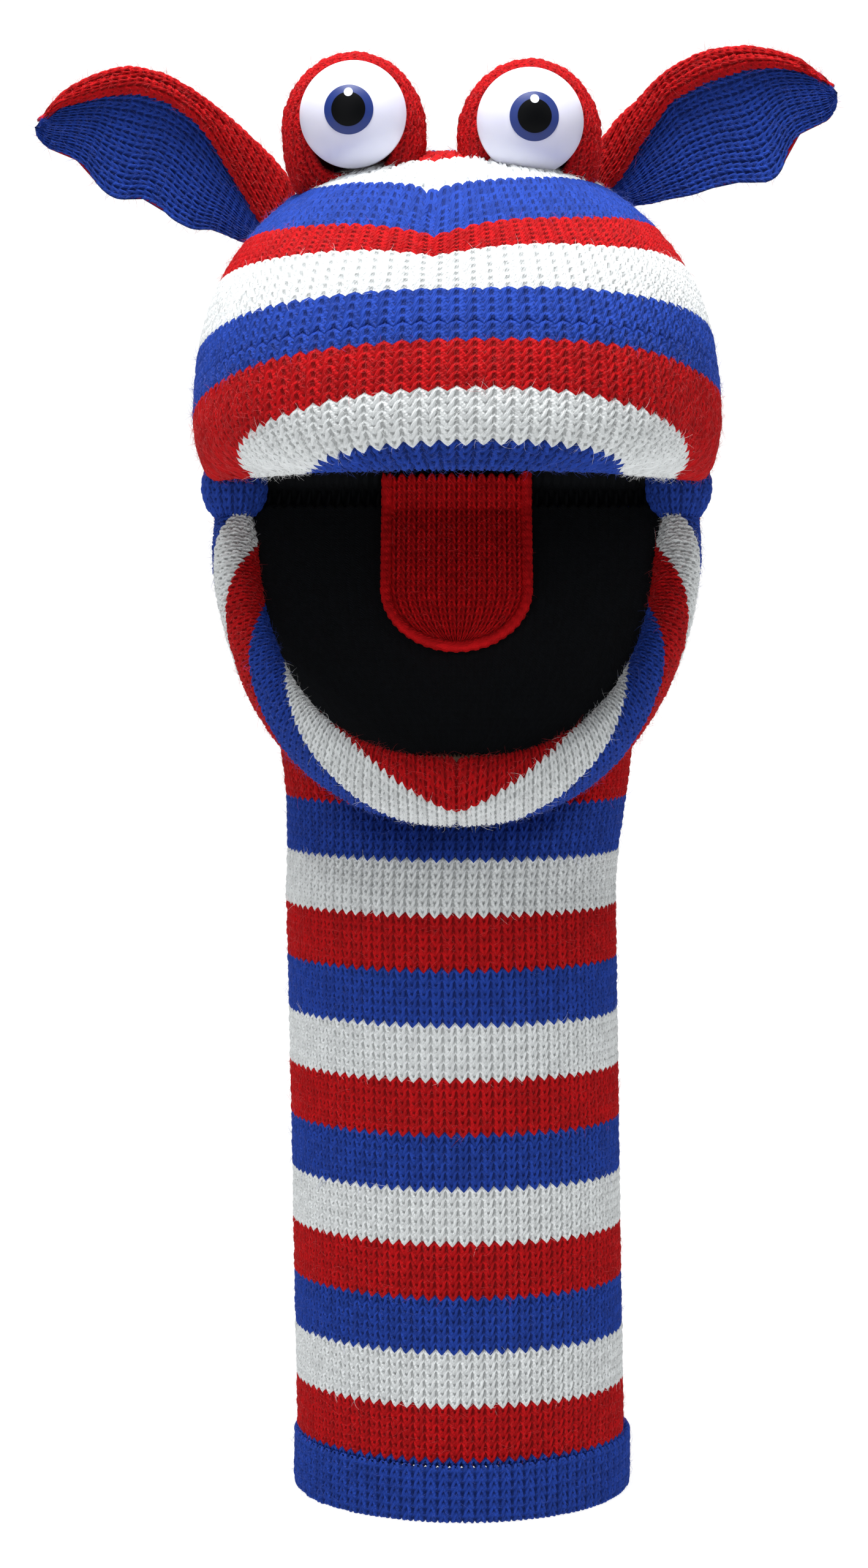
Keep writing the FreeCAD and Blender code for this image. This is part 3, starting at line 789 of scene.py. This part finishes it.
def make_mouth():
    """Black ribbed lining above and below, and the fold between them at the hinge."""
    def lower(a, b):
        x_share = a / LINING_WALES * 2 - 1
        s = JAW_START + b * 1.78
        crown = 0.8 * (1 - x_share ** 2)
        room = np.clip(1 - np.clip(s / (BED_LENGTH + 1.5), 0, 1) ** BED_ROUNDNESS, 0.0, 1)
        x = (BED_HALF + 1) * x_share * room ** (1 / BED_ROUNDNESS)
        return into_jaw(x, s, -3.0 - 0.4 + crown * 0.4)

    def upper(a, b):
        x_share = a / ROOF_WALES * 2 - 1
        y = ROOF_START - b * 1.83
        room = 1 - (np.clip(-y, 0, ROOF_LENGTH - 1) / ROOF_LENGTH) ** HEAD_ROUNDNESS
        x = ROOF_HALF * x_share * np.clip(room, 0, 1) ** (1 / HEAD_ROUNDNESS)
        return join(x, y, ROOF_Z)

    fine = dict(closed=False, relief=0.3, columns=4, steps=(0.0, 0.5), wall=0.9)
    bed = knit("lower_lining", lower, LINING_WALES, (0, LINING_COURSES), lambda course: BLACK,
               into_jaw(0, 40, -20), seed=80, **fine)
    roof = knit("upper_lining", upper, ROOF_WALES, (0, LINING_COURSES), lambda course: BLACK,
                (0, -40, 290), seed=81, **fine)
    for part, body in ((bed, "lower_jaw"), (roof, "head")):
        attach(part, body)
    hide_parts("lower_mouth_lining")
    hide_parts("upper_mouth_lining")

    def fold(a, b):
        x = (a / LINING_WALES - 0.5) * 2 * BED_HALF
        turn = np.clip(b / 8, 0, 1)
        y = ROOF_START * (1 - turn) + 0.3 * turn + 7.0 * np.sin(np.pi * turn)
        z = ROOF_Z * (1 - turn) + (HINGE_Z - 5.8) * turn
        return join(x, y, z)

    hinge = knit("mouth_hinge_fold", fold, LINING_WALES, (0, 8), lambda course: BLACK,
                 (0, 40, 262), seed=82, **fine)
    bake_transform(hinge)
    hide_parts("mouth_fold")


CHEEK_HALF = (8.4, 9.8)
CHEEK_X = 58.0
CHEEK_WALES, CHEEK_COURSES = 16, 12


def make_cheeks():
    """Rounded knit at the mouth's corners, turned about the hinge so that it fits at any angle."""
    for side, sign in (("left", -1), ("right", 1)):
        def ball(a, b, sign=sign):
            turn = 2 * np.pi * a / CHEEK_WALES
            rise = np.pi * (b / CHEEK_COURSES - 0.5)
            x = sign * CHEEK_X + CHEEK_HALF[0] * np.cos(rise) * np.cos(turn)
            y = CHEEK_HALF[1] * np.cos(rise) * np.sin(turn)
            z = HINGE_Z - 1 + CHEEK_HALF[1] * np.sin(rise)
            return join(x, y, z)
        cheek = knit(f"{side}_cheek", ball, CHEEK_WALES, (1, CHEEK_COURSES - 1),
                     lambda course: BLUE, (sign * CHEEK_X, 0, HINGE_Z), wall=1.2, seed=90)
        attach(cheek, "lower_jaw")
        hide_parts(f"{side}_cheek_fold")


# ---------------------------------------------------------------- tongue
TONGUE_HALF, TONGUE_REACH = 18.2, 50.6
TONGUE_START = -1.5             # behind the hinge, under the fold
TONGUE_ROOT = 3.0               # the root stands this far above the lining
ROOT_REACH = 8.0                # and slopes down to it over this length
TONGUE_WALES, TONGUE_COURSES = 14, 24
TONGUE_Z = -1.0                 # height of the tongue in the level jaw
SEAM_COURSES = 50
SEAM_RADIUS = 1.5


def tongue_root(s):
    return np.clip((ROOT_REACH - s) / ROOT_REACH, 0, 1) * TONGUE_ROOT


def make_tongue():
    def width(s):
        over = np.clip((s - (TONGUE_REACH - TONGUE_HALF)) / TONGUE_HALF, 0, 0.985)
        return TONGUE_HALF * np.sqrt(1 - over ** 2)

    def face(high, lift):
        def surface(a, b):
            share = a / TONGUE_WALES * 2 - 1
            s = np.minimum(TONGUE_START + b * 2.2, TONGUE_REACH - 0.3)
            edge = np.clip(1 - np.abs(share) ** 6, 0, 1)
            tip = np.clip((TONGUE_REACH - s) / 2.5, 0, 1) ** 0.5
            z = high + lift * edge * tip + tongue_root(s)
            return into_jaw(width(s) * share, s, z)
        return surface

    top = knit("tongue_upper", face(TONGUE_Z, 1.0), TONGUE_WALES, (0, TONGUE_COURSES),
               lambda course: LIT_TONGUE_RED, into_jaw(0, 30, -8), closed=False, wall=1.2, relief=0.8,
               seed=100)
    low = knit("tongue_lower", face(TONGUE_Z - 0.4, -1.0), TONGUE_WALES, (0, TONGUE_COURSES),
               lambda course: LIT_TONGUE_RED, into_jaw(0, 30, 8), closed=False, wall=0.8, relief=0.3,
               seed=101)
    hairs = fuzz(top, 300, 102)

    def cord(a, b):
        """Overcast seam round the tongue's edge."""
        share = np.clip(b / SEAM_COURSES, 0, 1)
        straight = TONGUE_REACH - TONGUE_HALF - TONGUE_START
        total = 2 * straight + np.pi * TONGUE_HALF
        way = share * total
        turn = np.clip((way - straight) / TONGUE_HALF, 0, np.pi)
        x = -TONGUE_HALF * np.cos(turn)
        s = TONGUE_START + np.minimum(way, straight) + TONGUE_HALF * np.sin(turn)
        s = s - np.maximum(way - straight - np.pi * TONGUE_HALF, 0)
        round_ = 2 * np.pi * a / 4
        bulge = SEAM_RADIUS * (1 + 0.12 * np.cos(2 * np.pi * b))
        return into_jaw(x - np.cos(turn) * bulge * np.cos(round_) * 0.9,
                        s + np.sin(turn) * bulge * np.cos(round_) * 0.9,
                        TONGUE_Z + bulge * np.sin(round_) + tongue_root(s))

    seam = knit("tongue_seam", cord, 4, (0, SEAM_COURSES), lambda course: LIT_TONGUE_RED,
                into_jaw(0, 30, 0), wall=0.6, relief=0.3, columns=4, seed=103)
    near, far = (into_jaw(0, s, 0) * MM for s in (4.0, 14.0))
    for part in (top, low, seam, hairs):
        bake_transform(part)
    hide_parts("tongue_top")
    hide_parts("tongue_underside")
    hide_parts("tongue_stitched_edge")


# ---------------------------------------------------------------- eyes and ears
EYES = {"left": (-26.0, 356.5), "right": (18.4, 354.8)}
MOUND_HALF = (18.0, 15.3, 19.8)
MOUND_Y = -18.5
MOUND_DROP = 3.2                # the mound's middle is this far below the eye's
MOUND_WALES = 13
MOUND_COURSES = 52
MOUND_FIRST, MOUND_SWEEP = 36, 142  # degrees from the front where the knit starts, and its reach


def make_mounds():
    for side, (x0, z0) in EYES.items():
        def mound(a, b, x0=x0, z0=z0):
            polar = np.radians(MOUND_FIRST + MOUND_SWEEP * a / MOUND_WALES)
            turn = 2 * np.pi * b / MOUND_COURSES
            c = np.cos(polar)
            deep = np.sign(c) * np.abs(c) ** 0.62
            wide = np.cos(turn)
            wide = np.where(np.sin(turn) < 0, np.sign(wide) * np.abs(wide) ** 0.5, wide)
            x = x0 + MOUND_HALF[0] * np.sin(polar) * wide
            z = z0 - MOUND_DROP + MOUND_HALF[2] * np.sin(polar) * np.sin(turn)
            y = MOUND_Y - MOUND_HALF[1] * deep
            return join(x, y, z)
        cover = knit(f"{side}_mound_cover", mound, MOUND_WALES, (0, MOUND_COURSES),
                     lambda course: RED, (x0, MOUND_Y, z0 - MOUND_DROP), closed=False, wall=1.4,
                     seed=110)
        hairs = fuzz(cover, 2200, 111)
        for part in (cover, hairs):
            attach(part, "head")
        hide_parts(f"{side}_eye_mound", f"{side}_mound_filling")


# Each ear's root: x, z and the slope of the ear in degrees.
EARS = {"left": (-51.0, 336.5, 18.8), "right": (41.0, 343.0, 21.4)}
EAR_Y = 2.0
EAR_SHRINK = 0.975              # the outlines below are drawn this much too long
EAR_CURL = 42.0                 # radius of the ear's hollow
EAR_ROLL = 2.2                  # radius of the rolled upper edge
EAR_START, EAR_COURSE, EAR_COURSES = -11.0, 2.15, 34
EAR_BACK_WALES, EAR_FACE_WALES = 18, 10
# Outlines of each ear: distance from the root, height. The roll ends at the inner line.
EAR_TOP = {
    "left": [(-11, 1), (-5, 9.5), (3, 14), (11, 17.4), (19, 20.4), (27, 22.9), (34, 24),
             (42, 23.5), (48, 21.4), (54, 17.1), (59, 12), (62, 6.5), (63.5, 2)],
    "right": [(-11, 0), (-5, 7.5), (1, 11.5), (7, 15), (14, 17.4), (19, 20), (25, 21.8),
              (32, 22.5), (39, 21.5), (46, 19.3), (53, 15.3), (58, 11), (61.5, 6), (63.5, 2)],
}
EAR_LOW = {
    "left": [(-11, -10), (-5, -10.2), (3, -10.2), (10, -9.5), (15, -11.3), (21, -10.5),
             (26, -8.2), (31, -7.7), (36, -10.1), (40, -9.7), (44, -7.7), (48, -4.6),
             (53, -3.4), (59, -3.5), (62, -1.6), (63.5, 0)],
    "right": [(-11, -7), (-5, -7.3), (1, -7.3), (7, -8.9), (12, -9.5), (18, -10.7),
              (25, -10.9), (30, -11.7), (34, -13.5), (38, -14.8), (41, -14.1), (44, -11.7),
              (46, -8.7), (50, -6.2), (55, -5.7), (59, -5.6), (62, -3.2), (63.5, 0)],
}
EAR_INNER = {
    "left": [(-11, -9), (-5, -7.5), (0, -3.3), (6, 1.8), (12, 6.6), (18, 11.8), (24, 15.2),
             (32, 17.2), (40, 16.9), (48, 13.8), (54, 10.3), (60, 6.5), (63.5, 1.5)],
    "right": [(-11, -6), (-5, -4.5), (-3, -2.4), (3, 0.6), (10, 6.2), (16, 10), (21, 13.4),
              (31, 14.6), (43, 13.9), (50, 12), (55, 9.4), (60, 6), (63.5, 1.5)],
}


def ear_point(side, u, v, y):
    """World point from an ear: u outwards from its root, v up across it, y as in the world."""
    base_x, base_z, slope = EARS[side]
    sign = -1 if side == "left" else 1
    tilt = math.radians(slope)
    u = u * EAR_SHRINK
    x = base_x + sign * (u * math.cos(tilt) - v * math.sin(tilt))
    z = base_z + u * math.sin(tilt) + v * math.cos(tilt)
    return join(x, y + EAR_Y, z)


def curled(v, radius):
    """How far back the hollow ear lies at height v across it."""
    return -EAR_CURL + np.sqrt(np.maximum(radius ** 2 - (v - 4) ** 2, 0))


def along(line, u):
    """Height of an outline at u, with its corners eased."""
    us, vs = zip(*line)
    return sum(np.interp(u + ease, us, vs) for ease in (-1.6, -0.8, 0.0, 0.8, 1.3)) / 5


def make_ears():
    for side in EARS:
        def back(a, b, side=side):
            """From the lower edge up the back, over the roll and down to the inner line."""
            u = EAR_START + b * EAR_COURSE
            top, low, inner = (along(line[side], u) for line in (EAR_TOP, EAR_LOW, EAR_INNER))
            roll = np.minimum(EAR_ROLL, (top - low) / 4)
            up = top - roll - low
            over = np.pi * roll
            down = np.maximum(top - roll - inner, 0.3)
            way = a / EAR_BACK_WALES * (up + over + down)
            turn = np.clip((way - up) / over, 0, 1) * np.pi
            drop = np.maximum(way - up - over, 0)
            v = low + np.minimum(way, up) + roll * np.sin(turn) - drop
            tuck = np.clip((drop - down + 2.0) / 2.0, 0, 1) ** 2
            puff = 1.4 * np.sin(np.pi * np.clip(drop / down, 0, 1)) ** 0.7
            y = curled(v, EAR_CURL + 1.4) - roll * (1 - np.cos(turn)) - puff + 2.2 * tuck
            return ear_point(side, u, v, y)

        def front(a, b, side=side):
            u = EAR_START + b * EAR_COURSE
            top, low, inner = (along(line[side], u) for line in (EAR_TOP, EAR_LOW, EAR_INNER))
            share = a / EAR_FACE_WALES
            v = low + (np.minimum(inner + 1.5, top - 1.5) - low) * share
            edge = 1.1 * np.exp(-share * 6)
            y = curled(v, EAR_CURL) - 1.0 - 0.8 * np.sin(np.pi * share) + edge
            return ear_point(side, u, v, y)

        ahead, behind = (ear_point(side, 30, 4, y) for y in (-30.0, 30.0))
        shell = knit(f"{side}_ear_outer", back, EAR_BACK_WALES, (0, EAR_COURSES),
                     lambda course: RED, ahead, closed=False, wall=1.0, relief=0.8, seed=120)
        face = knit(f"{side}_ear_inner", front, EAR_FACE_WALES, (0, EAR_COURSES),
                    lambda course: BLUE, behind, closed=False, wall=0.9, relief=0.9, seed=121)
        hairs = [fuzz(shell, 2400, 122), fuzz(face, 1200, 123)]
        near, far = (ear_point(side, u, 2, 0) * MM for u in (0.0, 9.0))
        for part in (shell, face, *hairs):
            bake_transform(part)
        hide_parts(f"{side}_ear_back", f"{side}_ear_root")
        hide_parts(f"{side}_ear_lining")


# ---------------------------------------------------------------- carried-over CAD parts
def repaint():
    """Better materials on the CAD nodes that keep their shape."""
    white, _, shader = principled("eye_plastic", linear(224, 224, 240), 0.28)
    shader.inputs["Subsurface Weight"].default_value = 0.15
    shader.inputs["Subsurface Radius"].default_value = (0.002, 0.002, 0.003)
    iris = principled("iris_print", linear(20, 46, 118), 0.4)[0]
    pupil, _, shader = principled("pupil_print", linear(3, 4, 6), 0.4)
    shader.inputs["Specular IOR Level"].default_value = 0.1
    glint = principled("glint_print", linear(235, 240, 248), 0.15)[0]
    stuffing = principled("stuffing", linear(225, 224, 218), 0.95)[0]
    board = principled("mouth_board", linear(120, 104, 84), 0.8)[0]
    cloth = principled("pocket_cloth", linear(40, 42, 48), 0.9)[0]
    washer = principled("washer_plastic", linear(60, 62, 66), 0.4)[0]
    finish = {
        "_eye_dome": white, "_iris": iris, "_pupil": pupil, "_glint": glint,
        "_eye_washer": washer, "padding": stuffing, "filling": stuffing, "board": board,
        "pocket": cloth,
        "hem_stitching": YARNS[BLUE * TONES],
    }
    for name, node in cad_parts.items():
        for word, material in finish.items():
            if word in name:
                if not node.data.materials:
                    node.data.materials.append(material)
                for place in node.material_slots:
                    place.material = material


# ---------------------------------------------------------------- floor, light and camera
BACKDROP_SIZE = 3.0             # half its width, its reach to the front and its height
BACKDROP_BACK = 0.9             # it starts to bend up this far behind the puppet
BACKDROP_BEND = 0.6


def make_stage():
    """Pale paper that runs from the floor up behind the puppet in one bend. It is in metres."""
    ring = [(-BACKDROP_SIZE, 0.0), (BACKDROP_BACK, 0.0)]
    for turn in np.linspace(0.1, math.pi / 2, 12):
        ring.append((BACKDROP_BACK + BACKDROP_BEND * math.sin(turn),
                     BACKDROP_BEND - BACKDROP_BEND * math.cos(turn)))
    ring.append((BACKDROP_BACK + BACKDROP_BEND, BACKDROP_SIZE))
    points = np.array([(x, y, z) for y, z in ring for x in (-BACKDROP_SIZE, BACKDROP_SIZE)]) / MM
    faces = np.array([(2 * i, 2 * i + 1, 2 * i + 3, 2 * i + 2) for i in range(len(ring) - 1)])
    paper, _, shader = principled("backdrop_paper", linear(120, 120, 120), 0.9)
    shader.inputs["Emission Color"].default_value = (1, 1, 1, 1)
    shader.inputs["Emission Strength"].default_value = 0.85
    floor = new_object("backdrop", points, faces, [paper])


def area_light(name, place, aim, size, power):
    lamp = bpy.data.lights.new(name, "AREA")
    lamp.shape = "DISK"
    lamp.size = size
    lamp.energy = power
    holder = bpy.data.objects.new(name, lamp)
    bpy.context.scene.collection.objects.link(holder)
    holder.location = place
    direction = Vector(np.array(aim) - np.array(place))
    holder.rotation_euler = direction.to_track_quat("-Z", "Y").to_euler()


def make_light():
    world = bpy.data.worlds.new("studio")
    bpy.context.scene.world = world
    world.use_nodes = True
    background = world.node_tree.nodes["Background"]
    background.inputs["Color"].default_value = (1, 1, 1, 1)
    background.inputs["Strength"].default_value = 0.12
    area_light("overhead", (-0.1, -0.35, 1.5), (0, -0.02, 0.25), size=0.9, power=35)
    area_light("front", (-0.6, -1.5, 0.75), (0, 0, 0.2), size=1.0, power=2.2)
    area_light("side", (1.0, -0.8, 0.9), (0, 0, 0.25), size=0.8, power=1.6)


CAMERA_PLACE = (-0.0004, -0.9, 0.2555)
CAMERA_PITCH = 4.40
CAMERA_YAW = 0.35
CAMERA_LENS = 78.8


def make_camera():
    camera = bpy.data.cameras.new("camera")
    camera.lens = CAMERA_LENS
    camera.sensor_width = 36
    holder = bpy.data.objects.new("camera", camera)
    bpy.context.scene.collection.objects.link(holder)
    holder.location = CAMERA_PLACE
    holder.rotation_euler = (math.radians(90 - CAMERA_PITCH), 0, math.radians(CAMERA_YAW))
    bpy.context.scene.camera = holder


bpy.context.scene.view_settings.view_transform = "Standard"
make_sleeve()
make_head()
make_jaw()
make_mouth()
make_cheeks()
make_tongue()
make_mounds()
make_ears()
repaint()
make_stage()
make_light()
make_camera()
